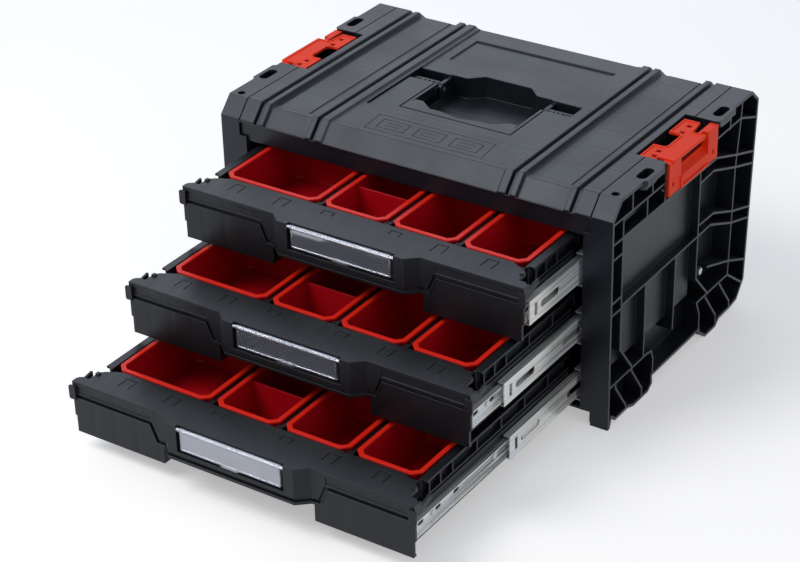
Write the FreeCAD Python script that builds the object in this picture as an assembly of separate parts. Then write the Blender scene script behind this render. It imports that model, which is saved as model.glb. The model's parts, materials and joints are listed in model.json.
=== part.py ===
import FreeCAD, Part

import math
import os

# Portable tool box with three drawers on ball-bearing slides, in millimetres.
# X points to the right, Y from the drawers to the back and Z up.
# The drawers stand pulled out by different amounts, which is the rest pose.

vector = FreeCAD.Vector

# Case, overall
case_width = 450.0
case_depth = 302.5
case_height = 243.6
front_chamfer_run = 16.2
front_chamfer_drop = 17.1
back_chamfer_run = 14.9
back_chamfer_drop = 13.2
side_thickness = 22.8
opening_inset = 7.9
shell_gap = 0.3
overrun = 1.0

# Side frames: a web, a rim round its edge and ribs that stand out to the side
frame_web = 2.5
frame_rim = 3.0
frame_rib = 2.2
frame_strip = 3.4
strip_foot_height = 15.0
strip_foot_inset = 19.3
plate_recess = 9.0
pocket_recess = 7.5
ear_short_run = 12.5
ear_long_run = 21.0
ear_reach = 3.2
ear_slope = 3.5
ear_height = 6.0
slot_length = 24.0
slot_width = 10.5
slot_inset = 6.5
slot_depth = 9.0
slot_front_distance = 31.1
slot_back_distance = 23.4
stack_hole_radius = 4.0
stack_hole_inset = 10.4
stack_hole_place = 22.5
boss_radius = 5.0
boss_length = 13.0
frame_screw_radius = 1.9
frame_screw_head = 3.6
frame_screw_head_height = 2.2
frame_screw_length = 20.0
frame_screw_shares = ((0.684, 0.805), (0.678, 0.557), (0.67, 0.313))

frame_foot_shares = (
    (0.0, 0.0), (0.014, 0.0), (0.025, 0.039), (0.048, 0.017), (0.132, 0.017), (0.172, 0.0),
    (0.271, 0.0), (0.299, 0.025), (0.296, 0.062), (0.624, 0.062), (0.628, 0.045), (0.678, 0.0),
    (0.757, 0.0), (0.78, 0.025), (0.866, 0.027), (0.916, 0.037), (0.964, 0.111))

frame_rib_shares = (
    ((0.069, 0.913), (0.069, 0.332), (0.15, 0.203)),
    ((0.0, 0.192), (0.255, 0.192), (0.284, 0.185), (0.298, 0.14), (0.296, 0.062)),
    ((0.045, 0.192), (0.047, 0.168), (0.119, 0.041), (0.119, 0.01)),
    ((0.15, 0.203), (0.151, 0.181), (0.225, 0.051), (0.225, 0.0)),
    ((0.0, 0.827), (0.069, 0.827)),
    ((0.0, 0.761), (0.069, 0.761)),
    ((0.0, 0.571), (0.069, 0.571)),
    ((0.0, 0.517), (0.069, 0.517)),
    ((0.0, 0.913), (0.335, 0.913)),
    ((0.692, 0.916), (0.87, 0.92), (0.998, 0.862)),
    ((0.125, 0.913), (0.125, 1.0)),
    ((0.254, 0.913), (0.254, 1.0)),
    ((0.222, 0.833), (0.222, 0.913)),
    ((0.789, 0.913), (0.796, 1.0)),
    ((0.874, 1.0), (0.87, 0.92), (0.846, 0.71), (0.83, 0.21), (0.95, 0.1)),
    ((0.83, 0.21), (0.602, 0.212), (0.626, 0.141), (0.626, 0.062)),
    ((0.666, 0.2), (0.752, 0.062), (0.755, 0.0)),
    ((0.771, 0.2), (0.853, 0.069), (0.856, 0.027)),
    ((0.587, 0.833), (0.587, 0.337), (0.675, 0.218)),
    ((0.587, 0.833), (0.696, 0.83), (0.858, 0.761), (0.986, 0.711)),
    ((0.587, 0.775), (0.684, 0.78), (0.852, 0.707), (0.986, 0.656)),
    ((0.587, 0.582), (0.696, 0.579), (0.847, 0.505), (0.977, 0.456)),
    ((0.069, 0.529), (0.678, 0.535), (0.843, 0.452), (0.976, 0.404)),
    ((0.672, 0.342), (0.825, 0.279), (0.961, 0.209)),
    ((0.228, 0.529), (0.23, 0.2)),
    ((0.433, 0.529), (0.429, 0.2)))

# Raised floors between the ribs of a side frame
plate_front_share = 0.069
plate_back_share = 0.587
plate_low_share = 0.529
plate_high_share = 0.833
panel_bend_share = 0.25
panel_low_share = 0.19
pocket_back_share = 0.222
pocket_low_share = 0.857
pocket_high_share = 0.913

# Slide panels: the flat inner walls that the slides are fixed to
slide_panel_thickness = 3.0
slide_panel_rise = 2.1
slide_panel_ledge = 2.5
slide_panel_end_gap = 11.0
spacer_radius = 4.5
spacer_places_shares = ((0.1, 0.15), (0.1, 0.45), (0.1, 0.75), (0.9, 0.15), (0.9, 0.45), (0.9, 0.75))

# Floor and back of the case
floor_bottom = 14.2
floor_thickness = 2.5
floor_front = 0.8
floor_rib_height = 3.0
floor_rib_thickness = 3.0
floor_bay_count = 8
back_thickness = 3.0
back_rib_depth = 4.0
back_rib_thickness = 2.5
back_bay_count = 10

# Top cover
cover_skin = 6.8
cover_skirt = 3.0
cover_side_rise = 5.1
fascia_drop = 39.7
fascia_recess = 2.6
fascia_thickness = 3.0
relief_depth = 3.8
relief_slope = 1.6
panel_depth = 2.2
panel_share = 0.5035
groove_and_field_shares = ((0.542, 0.5697), (0.5974, 0.8566), (0.8823, 0.913))
field_strip_shares = ((0.5974, 0.661), (0.8205, 0.8566))
field_strip_step = 0.9
field_strip_front = 25.0
zone_margin = 4.8
seam_groove_width = 0.9
seam_groove_depth = 2.2
seam_groove_slope = 0.2
sunk_field_inset = 13.5
sunk_field_front_gap = 18.0
sunk_field_back_inset = 40.5
sunk_field_depth = 1.5
icon_plate_inset = 29.0
icon_plate_front = 24.0
icon_plate_length = 33.0
icon_plate_slant = 3.0
icon_line = 0.9
icon_line_depth = 0.5
icon_box_half_share = 0.227
icon_box_span_shares = (0.212, 0.788)
icon_box_places_shares = (-0.636, 0.0, 0.636)
icon_bar_half_share = 0.136
icon_bar_levels_shares = (0.394, 0.576)

# Handle, folded flat into its well
handle_side_inset = 2.0
handle_front = 73.0
handle_leg_width = 32.0
handle_leg_length = 76.5
handle_bar_width = 10.5
handle_grip_depth = 23.0
handle_thickness = 13.0
handle_lip_drop = 2.2
handle_line = 1.7
handle_line_depth = 1.5
handle_line_inset = 0.5
handle_wall = 3.0
handle_gap = 1.2
handle_pivot_distance = 10.0
handle_pivot_drop = 10.0
handle_barrel_radius = 7.0
handle_pin_radius = 2.5
handle_pin_gap = 0.06
handle_ear = 4.0
handle_side_gap = 1.0
handle_tooth = 2.4
handle_tooth_count = 3
handle_tooth_reach = 7.0
handle_tooth_drop = 1.6
well_wall = 2.5
well_depth = 19.0
well_back_distance = 14.5
hollow_drop = 29.4
hollow_side_inset = 3.5
hollow_front_distance = 8.5
hollow_back_distance = 1.5
hollow_bay_depth = 13.0
hollow_bay_share = 0.454
hollow_shoulder_share = 0.689
grip_wave_shares = (
    (-0.94, 1.0), (-0.8, 1.0), (-0.56, 0.5), (-0.36, 0.5), (0.36, 0.5), (0.56, 0.5), (0.8, 1.0), (0.94, 1.0))
grip_wave_middle_share = 0.3

# Latches and the bays that they lie in
recess_length = 102.5
recess_middle_share = 0.5132
recess_width_in_cover = 10.7
recess_drop = 40.6
catch_wall = 2.2
catch_gap = 0.5
catch_low_gap = 0.5
latch_gap = 0.5
latch_plate = 2.8
latch_top_drop = 0.6
latch_reach = 4.0
latch_side_gap = 3.5
latch_notch_front_distance = 30.0
latch_notch_back_distance = 41.5
latch_notch_depth = 13.5
latch_body_front_distance = 7.0
latch_body_back_distance = 30.5
latch_prong_width = 17.0
latch_fold = 8.0
latch_lip = 3.4
latch_lug_depth = 6.0
latch_lug_front_distance = 24.5
latch_lug_back_distance = 21.0
latch_bar_drop = 25.6
latch_bar_slope = 8.0
latch_floor_gap = 3.6
latch_axis_inset = 2.5
latch_axis_rise = 11.2
latch_pin_radius = 1.5
latch_pin_gap = 0.06
latch_pin_depth = 9.0
latch_window = 5.0
latch_arm_window = 4.2
latch_window_shares = ((0.28, 0.054), (0.25, 0.162), (0.26, 0.632), (0.25, 0.782))
latch_arm_window_drop = 29.0
latch_arm_window_front = 7.3
latch_arm_window_back = 12.2
latch_rim = 1.7
latch_rim_height = 0.7
latch_panel_inset = 3.2
latch_panel_step = 1.2
latch_panel_low = 2.4
latch_tooth = 2.4
latch_tooth_count = 3

# Drawers
drawer_names = ("top", "middle", "bottom")
drawer_out_shares = (0.376, 0.6975, 1.0243)
middle_out_shares = (0.35, 0.507, 0.4715)
drawer_gap = 7.5
drawer_cover_gap = 4.0
drawer_floor_gap = 0.8
drawer_side_gap = 0.9
front_wall = 3.0
front_slab_reach = 4.0
ledge_thickness = 2.5
ledge_back = 37.4
ledge_corner = 6.5
ledge_corner_cut = 4.5
ledge_waist_inset = 12.0
ledge_waist_length = 13.0
ledge_step_inset = 16.5
ledge_rear_inset = 33.4
ledge_rear_step = 5.0
knob_width = 4.0
knob_height = 1.6
bulge = 10.5
bulge_side = 10.9
bulge_slope = 12.0
band_bottom = 13.7
band_recess_depth = 0.9
band_recess_top = 4.4
band_recess_lip = 1.7
groove_width = 3.0
groove_depth = 2.2
groove_end_inset = 2.4
lip_width = 1.3
lip_out = 0.8
side_panel_step = 2.5
side_panel_end = 1.8
slant_top_step = 13.0
slant_bottom_step = 5.5
strip_top = 34.4
strip_bottom = 38.1
ear_lap = 2.2
ear_width = 7.8
ear_out = 2.4
ear_thickness = 1.8
ear_top = 4.0
ear_bottom = 19.0
ear_round = 2.0
return_wall = 2.5
bottom_lip = 4.5
bottom_lip_thickness = 1.6
cheek_depth = 11.0
cheek_height = 11.5
hook_bottom = 14.0
hook_top = 8.0
hook_thickness = 5.0
hook_back = 27.0
tongue_line = 0.9
tongue_width = 12.5
tongue_back = 30.5
tongue_lengths = (8.0, 15.0, 15.0)
tongue_places_shares = (0.199, 0.465, 0.745)

# Label windows in the drawer fronts
label_half = 56.4
label_side_gap = 4.2
label_recess_bottom = 27.6
label_recess_depth = 4.0
label_bottom_gap = 3.0
label_plate = 1.6
label_set_back = 0.7
label_bar_radius = 2.3
label_axis_forward = 9.2
label_axis_drop = 3.2
label_lug_gap = 0.4
label_lug_radius = 1.7
label_pin_radius = 1.0
label_pin_gap = 0.06
label_pin_length = 2.4
label_back_wall = 3.0
label_edge = 1.5
label_edge_out = 0.5
label_clip_half = 9.5
label_clip_height = 2.2
label_clip_out = 1.4
label_bump_radius = 1.0
label_bump_out = 0.8
label_bump_places_shares = (0.626, 0.729)

# Drawer trays
tray_front_gap = 2.0
tray_back_gap = 5.5
tray_wall = 2.5
tray_floor = 2.5
tray_floor_drop = 1.8
tray_slide_space = 4.9
tray_flange_lap = 0.8
tray_flange = 2.2
rail_top = 19.0
rail_floor_gap = 1.0
rail_plate = 3.0
rail_rib = 2.2
rail_front = 5.0
cell_rib_drop = 14.8
cell_rib = 1.8
cell_places_shares = (0.147, 0.21, 0.28, 0.423, 0.57, 0.715, 0.864)
divider = 2.4
divider_top = 2.6
divider_rail = 4.2
divider_rail_height = 3.0
divider_places_shares = (0.3318, 0.558, 0.7836)
post_radius = 3.0
post_hole_radius = 1.2
post_drop = 1.0
post_depth = 7.0

# Bins: each row of words is one column from the front to the back, and "on" lengthens a bin
bin_columns = (
    ("wide", "on", "wide", "on"),
    ("divided", "on", "long", "on"),
    ("long", "on", "long", "on"),
    ("long", "on", "long", "on"))
partition = 1.6
partition_share = 0.455
bin_side_gap = 2.3
bin_front_gap = 0.7
bin_back_gap = 1.9
bin_row_gap = 2.6
bin_rim = 4.6
bin_rim_height = 2.2
bin_rim_over = 1.1
bin_above = 0.6
bin_wall = 1.8
bin_corner = 7.5
bin_corner_round = 2.2
bin_draft = 2.2
bin_foot_round = 2.0

# Ball-bearing slides
slide_thickness = 12.7
slide_sheet = 1.2
slide_end_gap = 5.5
outer_height = 35.0
outer_front = 6.0
outer_flange = 10.3
middle_height = 25.0
middle_front = 10.0
middle_shortening = 10.0
middle_web_place = 4.7
middle_flange_end = 11.8
middle_slot_start = 20.0
middle_slot_length = 34.0
middle_slot_width = 7.5
middle_slot_pitch = 85.0
middle_notch_place = 9.0
middle_notch_width = 5.0
middle_notch_height = 13.0
inner_height = 17.0
inner_front = 8.0
inner_flange_start = 7.4
inner_slot_length = 9.0
inner_slot_width = 4.4
inner_slot_places = (17.0, 45.0, 75.0)
outer_cage_place = 2.1
outer_cage_sheet = 0.7
outer_cage_end = 8.9
outer_cage_length = 76.0
outer_ball_place = 6.3
outer_ball_radius = 1.82
outer_ball_count = 4
inner_cage_place = 6.1
inner_cage_sheet = 0.6
inner_cage_end = 10.6
inner_cage_length = 60.0
inner_ball_place = 8.6
inner_ball_radius = 1.32
inner_ball_count = 3
ball_hole_gap = 0.08
rivet_radius = 1.6
rivet_head_radius = 3.0
rivet_head = 0.7
rivet_places_shares = (0.12, 0.5, 0.88)
drawer_screw_radius = 1.6
drawer_screw_head_radius = 3.0
drawer_screw_head = 1.6
drawer_screw_length = 2.8
drawer_screw_gap = 0.06
drawer_screw_places_shares = (0.13, 0.5, 0.87)

# Worked out across the width
rib_face = case_width / 2
seam_half = rib_face - side_thickness
opening_half = seam_half - opening_inset
strip_foot_half = rib_face - strip_foot_inset
web_inner = seam_half + shell_gap
web_outer = web_inner + frame_web
drawer_half = opening_half - drawer_side_gap
drawer_side = opening_half - slide_thickness
tray_inner_half = drawer_side - tray_slide_space - tray_wall
tray_flange_half = drawer_side + tray_flange_lap
panel_half = panel_share * seam_half
zone_half = panel_half - zone_margin
handle_half = zone_half - handle_side_inset
handle_leg_inner = handle_half - handle_leg_width
hollow_half = handle_leg_inner - hollow_side_inset
sunk_field_half = zone_half - sunk_field_inset
icon_plate_half = handle_half - icon_plate_inset
label_recess_half = label_half + label_side_gap
label_lug_half = label_recess_half - label_lug_gap
bulge_half = label_recess_half + bulge_side
bulge_foot_half = bulge_half + bulge_slope
side_panel_inner = bulge_foot_half + side_panel_step
side_panel_outer = drawer_half - side_panel_end
slant_top_half = side_panel_inner + slant_top_step
slant_bottom_half = side_panel_inner + slant_bottom_step
divider_centres = [share * 2 * tray_inner_half - tray_inner_half for share in divider_places_shares]
recess_inner = seam_half - recess_width_in_cover
latch_inner = recess_inner + latch_side_gap
latch_lug_inner = rib_face - latch_lug_depth
latch_axis_x = rib_face - latch_axis_inset

# Worked out along the depth
slide_panel_back = case_depth - slide_panel_end_gap
back_panel_front = slide_panel_back + shell_gap
tray_front = ledge_back - tray_front_gap
tray_back = slide_panel_back - tray_back_gap
bin_front = tray_front + tray_wall + bin_front_gap
bin_pitch = (tray_back - tray_wall - bin_back_gap - bin_front + bin_row_gap) / len(bin_columns[0])
bin_length = bin_pitch - bin_row_gap
outer_length = slide_panel_back - slide_end_gap - outer_front
middle_length = outer_length - middle_shortening
inner_length = tray_back - inner_front
drawer_out = [share * outer_length for share in drawer_out_shares]
middle_out = [share * outer_length for share in middle_out_shares]
handle_bar_back = handle_front + handle_bar_width
handle_grip_back = handle_bar_back + handle_grip_depth
handle_leg_end = handle_front + handle_leg_length
handle_pivot_y = handle_leg_end + handle_pivot_distance
well_back = handle_pivot_y + well_back_distance
hollow_front = handle_front + hollow_front_distance
hollow_back = well_back + hollow_back_distance
hollow_bay_back = hollow_back + hollow_bay_depth
sunk_field_front = hollow_bay_back + sunk_field_front_gap
sunk_field_back = case_depth - sunk_field_back_inset
recess_front = recess_middle_share * case_depth - recess_length / 2
recess_back = recess_front + recess_length
slot_places = (recess_front - slot_front_distance, recess_back + slot_back_distance)
latch_notch_front = recess_front + latch_notch_front_distance
latch_notch_back = recess_back - latch_notch_back_distance
latch_body_front = recess_front + latch_body_front_distance
latch_body_back = recess_back - latch_body_back_distance
latch_lug_front = recess_front + latch_lug_front_distance
latch_lug_back = recess_back - latch_lug_back_distance
latch_arm_windows = (recess_front + latch_arm_window_front, recess_back - latch_arm_window_back)
front_reach = max(drawer_out) + label_axis_forward + label_bar_radius
model_shift = (front_reach - case_depth) / 2

# Worked out up the height
drawer_count = len(drawer_names)
floor_top = floor_bottom + floor_thickness
fascia_bottom = case_height - fascia_drop
drawer_top = fascia_bottom - drawer_cover_gap
drawer_room = drawer_top - floor_top - drawer_floor_gap
drawer_pitch = (drawer_room + drawer_gap) / drawer_count
front_height = drawer_pitch - drawer_gap
drawer_tops = [drawer_top - number * drawer_pitch for number in range(drawer_count)]
tray_bottom = front_height - tray_floor_drop
rail_bottom = tray_bottom - rail_floor_gap
slide_drop = (rail_top + rail_bottom) / 2
label_bottom = label_recess_bottom - label_bottom_gap
slide_panel_top = fascia_bottom + slide_panel_rise
cover_bottom = fascia_bottom + cover_side_rise
panel_level = case_height - panel_depth
zone_level = case_height - relief_depth
pivot_z = zone_level - handle_pivot_drop
hollow_floor = case_height - hollow_drop
recess_floor = case_height - recess_drop
latch_bottom = recess_floor + latch_floor_gap
latch_axis_z = recess_floor + latch_axis_rise
latch_bar_top = case_height - latch_bar_drop
latch_bar_back_top = latch_bar_top + latch_bar_slope

along_x = vector(1, 0, 0)
along_y = vector(0, 1, 0)
along_z = vector(0, 0, 1)
origin = vector(0, 0, 0)


def box(low_x, high_x, low_y, high_y, low_z, high_z):
    return Part.makeBox(high_x - low_x, high_y - low_y, high_z - low_z, vector(low_x, low_y, low_z))


def prism(corners, path):
    return Part.Face(Part.makePolygon(corners + corners[:1])).extrude(path)


def side_prism(points, low_x, high_x):
    return prism([vector(low_x, y, z) for y, z in points], vector(high_x - low_x, 0, 0))


def front_prism(points, low_y, high_y):
    return prism([vector(x, low_y, z) for x, z in points], vector(0, high_y - low_y, 0))


def plan_prism(points, low_z, high_z):
    return prism([vector(x, y, low_z) for x, y in points], vector(0, 0, high_z - low_z))


def rod_x(y, z, radius, low_x, high_x):
    return Part.makeCylinder(radius, high_x - low_x, vector(low_x, y, z), along_x)


def rod_y(x, z, radius, low_y, high_y):
    return Part.makeCylinder(radius, high_y - low_y, vector(x, low_y, z), along_y)


def rod_z(x, y, radius, low_z, high_z):
    return Part.makeCylinder(radius, high_z - low_z, vector(x, y, low_z), along_z)


def mirrored(shape):
    return shape.mirror(origin, along_x)


def with_mirror(shapes):
    return shapes + [mirrored(shape) for shape in shapes]


def joined(shapes):
    return shapes[0].multiFuse(shapes[1:]).removeSplitter()


def moved(shape, x, y, z):
    copy = shape.copy()
    copy.translate(vector(x, y, z))
    return copy


# A line of points in the side view, thickened into one rib
def rib_line(points, thickness, low_x, high_x):
    pieces = []
    for (start_y, start_z), (end_y, end_z) in zip(points, points[1:]):
        start = vector(0, start_y, start_z)
        end = vector(0, end_y, end_z)
        run = (end - start).normalize() * (thickness / 2)
        side = vector(0, -run.z, run.y)
        corners = [start - run + side, start - run - side, end + run - side, end + run + side]
        pieces.append(side_prism([(corner.y, corner.z) for corner in corners], low_x, high_x))
    return pieces


def frame_points(shares):
    return [(share_y * case_depth, share_z * case_height) for share_y, share_z in shares]


def frame_outline():
    upper = [
        (case_depth, case_height - back_chamfer_drop),
        (case_depth - back_chamfer_run, case_height),
        (front_chamfer_run, case_height),
        (0, case_height - front_chamfer_drop)]
    return frame_points(frame_foot_shares) + upper


# Side frames

def frame_floors():
    floor_out = rib_face - plate_recess
    floor_in = floor_out - frame_web
    front = plate_front_share * case_depth
    back = plate_back_share * case_depth
    low = plate_low_share * case_height
    high = plate_high_share * case_height
    bend = panel_bend_share * case_height
    bottom = panel_low_share * case_height
    upper = box(floor_in, floor_out, front, back, low, high)
    lower = front_prism([
        (floor_in, low), (floor_out, low), (floor_out, bend), (web_outer, bottom),
        (web_inner, bottom), (floor_in, bend + frame_web / 2)], front, back)
    lid = box(web_inner, rib_face, front, back, high - frame_rib, high)
    pocket_out = rib_face - pocket_recess
    pocket = box(
        pocket_out - frame_web, pocket_out, front, pocket_back_share * case_depth,
        pocket_low_share * case_height, pocket_high_share * case_height)
    pocket_lip = box(
        web_inner, pocket_out, front, pocket_back_share * case_depth,
        pocket_low_share * case_height, pocket_low_share * case_height + frame_rib)
    return [upper, lower, lid, pocket, pocket_lip]


def latch_bay_walls():
    front = box(web_inner, rib_face, recess_front - frame_web, recess_front, recess_floor, case_height)
    back = box(web_inner, rib_face, recess_back, recess_back + frame_web, recess_floor, case_height)
    shelf = box(
        web_inner, rib_face, recess_front - frame_web, recess_back + frame_web,
        recess_floor - frame_web, recess_floor)
    return [front, back, shelf]


def catch_walls():
    high = latch_lug_inner - catch_gap
    swing_top = latch_axis_z + latch_axis_z - latch_bottom
    return box(
        high - catch_wall, high, recess_front - frame_web / 2, recess_back + frame_web / 2,
        swing_top, case_height - latch_top_drop - latch_fold)


def slot_form(grow, low_z, high_z):
    forms = []
    centre_x = rib_face - slot_inset
    radius = slot_width / 2 + grow
    half_run = (slot_length - slot_width) / 2
    for centre_y in slot_places:
        forms.append(box(
            centre_x - radius, centre_x + radius, centre_y - half_run, centre_y + half_run,
            low_z, high_z))
        for end in (centre_y - half_run, centre_y + half_run):
            forms.append(rod_z(centre_x, end, radius, low_z, high_z))
    hole_x = rib_face - stack_hole_inset
    forms.append(rod_z(hole_x, stack_hole_place, stack_hole_radius + grow, low_z, high_z))
    return forms


def stacking_ears():
    front, back = slot_places
    low = rib_face - ear_reach
    high = rib_face + ear_reach
    ears = []
    for start, end in (
            (front - ear_short_run, front + ear_long_run), (back - ear_long_run, back + ear_short_run)):
        ears.append(plan_prism(
            [(low, start - ear_slope), (high, start), (high, end), (low, end + ear_slope)],
            case_height - ear_height, case_height))
    return ears


def frame_bosses():
    bosses = []
    for y, z in frame_points(frame_screw_shares):
        bosses.append(rod_x(y, z, boss_radius, web_inner, web_inner + boss_length))
    return bosses


def frame_screw_holes():
    holes = []
    for y, z in frame_points(frame_screw_shares):
        holes.append(rod_x(
            y, z, frame_screw_radius + drawer_screw_gap, web_inner - overrun,
            web_inner + boss_length + overrun))
    return holes


def side_frame():
    outline = frame_outline()
    solid = side_prism(outline, web_inner, rib_face)
    rim = joined(rib_line(outline + outline[:1], frame_rim * 2, web_inner, rib_face)).common(solid)
    web = side_prism(outline, web_inner, web_outer)
    behind_plates = box(
        web_inner - overrun, web_outer + overrun,
        plate_front_share * case_depth + frame_rib, plate_back_share * case_depth - frame_rib,
        panel_low_share * case_height + frame_web * 2, plate_high_share * case_height - frame_rib)
    web = web.cut(behind_plates)
    ribs = []
    for shares in frame_rib_shares:
        ribs += rib_line(frame_points(shares), frame_rib, web_inner, rib_face)
    ribs = joined(ribs).common(solid)
    recess = box(
        web_inner - overrun, rib_face + ear_reach + overrun, recess_front, recess_back,
        recess_floor, case_height + overrun)
    low_cut = box(
        web_inner - overrun, strip_foot_half, -overrun, frame_strip + overrun,
        -overrun, strip_foot_height)
    strip = box(
        opening_half, web_inner, 0, frame_strip, floor_top + shell_gap, cover_bottom - shell_gap)
    pockets = joined(slot_form(frame_rib, case_height - slot_depth - frame_rib, case_height)).common(solid)
    frame = joined(
        [web, rim, ribs, strip, pockets] + frame_floors() + latch_bay_walls() + stacking_ears()
        + frame_bosses())
    for tool in [recess, low_cut] + frame_screw_holes():
        frame = frame.cut(tool)
    for tool in slot_form(0, case_height - slot_depth, case_height + overrun):
        frame = frame.cut(tool)
    frame = frame.fuse(catch_walls())
    for pin_x, pin_z, low_y, high_y in latch_pin_spans():
        frame = frame.cut(rod_y(pin_x, pin_z, latch_pin_radius + latch_pin_gap, low_y, high_y))
    return frame


def frame_screws():
    screws = []
    for y, z in frame_points(frame_screw_shares):
        top = web_inner + boss_length
        head = rod_x(y, z, frame_screw_head, top, top + frame_screw_head_height)
        shank = rod_x(y, z, frame_screw_radius, top - frame_screw_length, top)
        screws.append(head.fuse(shank).removeSplitter())
    return screws


# Slide panels, floor and back

def slide_panel():
    face = opening_half
    outer = face + slide_panel_thickness
    panel = box(
        face, outer, frame_strip + shell_gap, slide_panel_back, floor_top + shell_gap, slide_panel_top)
    ledge = box(
        face, seam_half, frame_strip + shell_gap, slide_panel_back,
        slide_panel_top - slide_panel_ledge, slide_panel_top)
    pieces = [panel, ledge]
    for y, z in frame_points(spacer_places_shares):
        pieces.append(rod_x(y, z, spacer_radius, outer, web_inner))
    for y, z in frame_points(frame_screw_shares):
        pieces.append(rod_x(y, z, boss_radius, outer, web_inner))
    shape = joined(pieces)
    for y, z in frame_points(frame_screw_shares):
        shape = shape.cut(rod_x(
            y, z, frame_screw_radius + drawer_screw_gap, face - overrun, web_inner + overrun))
    for y, z in rivet_points():
        shape = shape.cut(rod_x(y, z, rivet_radius + drawer_screw_gap, face - overrun, outer + overrun))
    return shape


def floor_panel():
    half = seam_half
    plate = box(-half, half, floor_front, back_panel_front + back_thickness, floor_bottom, floor_top)
    ribs = []
    pitch = 2 * half / floor_bay_count
    for centre in [pitch * number - half for number in range(floor_bay_count)][1:]:
        ribs.append(box(
            centre - floor_rib_thickness / 2, centre + floor_rib_thickness / 2,
            frame_strip * 2, back_panel_front, floor_bottom - floor_rib_height, floor_bottom))
    return joined([plate] + ribs)


def back_panel():
    half = seam_half
    front = back_panel_front
    rear = front + back_thickness
    top = slide_panel_top - shell_gap
    plate = box(-half, half, front, rear, floor_top, top)
    ribs = []
    pitch = 2 * half / back_bay_count
    for centre in [pitch * number - half for number in range(back_bay_count)][1:]:
        ribs.append(box(
            centre - back_rib_thickness / 2, centre + back_rib_thickness / 2,
            rear, rear + back_rib_depth, floor_top, top))
    for level in (floor_top, top - back_rib_thickness):
        ribs.append(box(-half, half, rear, rear + back_rib_depth, level, level + back_rib_thickness))
    return joined([plate] + ribs)


# Top cover with its relief, the well for the handle and the latch bays

def cover_profile(inset):
    slope = inset / 2
    return [
        (inset, case_height - front_chamfer_drop - slope),
        (front_chamfer_run + slope, case_height - inset),
        (case_depth - back_chamfer_run - slope, case_height - inset),
        (case_depth - inset, case_height - back_chamfer_drop - slope)]


def relief_cut(low_x, high_x, depth, points, slope=relief_slope):
    tools = []
    for (start_y, start_z), (end_y, end_z) in zip(points, points[1:]):
        start = vector(0, start_y, start_z)
        run = vector(0, end_y - start_y, end_z - start_z)
        unit = vector(0, run.y, run.z).normalize()
        outward = vector(0, -unit.z, unit.y)
        spread = slope * overrun / depth
        section = []
        for x, height in (
                (low_x - spread, overrun), (high_x + spread, overrun),
                (high_x - slope, -depth), (low_x + slope, -depth)):
            section.append(start - unit * overrun + outward * height + along_x * x)
        tools.append(prism(section, run + unit * (2 * overrun)))
    return tools


def cover_reliefs():
    profile = cover_profile(0)
    top = profile[1:3]
    tools = relief_cut(-panel_half, panel_half, panel_depth, profile)
    for low_share, high_share in groove_and_field_shares:
        tools += with_mirror(relief_cut(
            low_share * seam_half, high_share * seam_half, relief_depth, profile))
    strip_run = [(field_strip_front, case_height), top[1]]
    for low_share, high_share in field_strip_shares:
        tools += with_mirror(relief_cut(
            low_share * seam_half, high_share * seam_half, relief_depth + field_strip_step, strip_run))
    zone_run = [(handle_front - handle_gap + overrun, case_height), top[1]]
    tools += relief_cut(-zone_half, zone_half, relief_depth, zone_run)
    tools += with_mirror(relief_cut(
        seam_half - seam_groove_width, seam_half + overrun, seam_groove_depth, profile, seam_groove_slope))
    return tools


def slanted_points(centre, half, low, high, inset=0):
    lean = icon_plate_slant * (high - low) / icon_plate_length
    half = half - inset
    return [
        (centre - half, low + inset), (centre + half + lean, low + inset),
        (centre + half, high - inset), (centre - half - lean, high - inset)]


def icon_lines():
    bottom = panel_level - icon_line_depth

    def outline(centre, half, low, high):
        ring = plan_prism(slanted_points(centre, half, low, high), bottom, case_height)
        return ring.cut(plan_prism(
            slanted_points(centre, half, low, high, icon_line), bottom, case_height))

    lines = [outline(0, icon_plate_half, icon_plate_front, icon_plate_front + icon_plate_length)]
    box_low, box_high = [icon_plate_front + share * icon_plate_length for share in icon_box_span_shares]
    bar_half = icon_bar_half_share * icon_plate_half
    for place_share in icon_box_places_shares:
        place = place_share * icon_plate_half
        lines.append(outline(place, icon_box_half_share * icon_plate_half, box_low, box_high))
        for share in icon_bar_levels_shares:
            level = icon_plate_front + share * icon_plate_length
            lines.append(box(
                place - bar_half, place + bar_half, level, level + icon_line, bottom, case_height))
    return lines


def hollow_points(grow):
    shoulder = hollow_shoulder_share * hollow_half + grow
    bay = hollow_bay_share * hollow_half + grow / 2
    half = hollow_half + grow
    back = hollow_back + grow
    return [
        (-half, hollow_front - grow), (half, hollow_front - grow), (half, back), (shoulder, back),
        (bay, hollow_bay_back + grow), (-bay, hollow_bay_back + grow), (-shoulder, back), (-half, back)]


def handle_ear_plate():
    high = hollow_half + handle_ear
    floor = zone_level - well_depth
    behind = box(
        hollow_half, high, handle_pivot_y, well_back + well_wall / 2, floor,
        pivot_z + handle_barrel_radius)
    below = box(
        hollow_half, high, handle_pivot_y - handle_barrel_radius, handle_pivot_y, floor, pivot_z)
    nose = rod_x(handle_pivot_y, pivot_z, handle_barrel_radius, hollow_half, high)
    return joined([behind, below, nose])


def handle_well():
    half = handle_half + handle_gap
    front = handle_front - handle_gap
    floor = zone_level - well_depth
    tub = box(
        -half - well_wall, half + well_wall, front - well_wall, well_back + well_wall,
        floor - well_wall, zone_level)
    return tub.fuse(plan_prism(hollow_points(well_wall), hollow_floor, zone_level))


def well_opening():
    half = handle_half + handle_gap
    front = handle_front - handle_gap
    outer = box(-half, half, front, well_back, zone_level - well_depth, case_height + overrun)
    deep = plan_prism(hollow_points(0), hollow_floor + well_wall, case_height + overrun)
    return outer.fuse(deep)


def latch_bay():
    inner = recess_inner - cover_skirt
    front = recess_front - cover_skirt
    back = recess_back + cover_skirt
    return box(inner, seam_half, front, back, recess_floor + frame_web + catch_low_gap, case_height)


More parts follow.
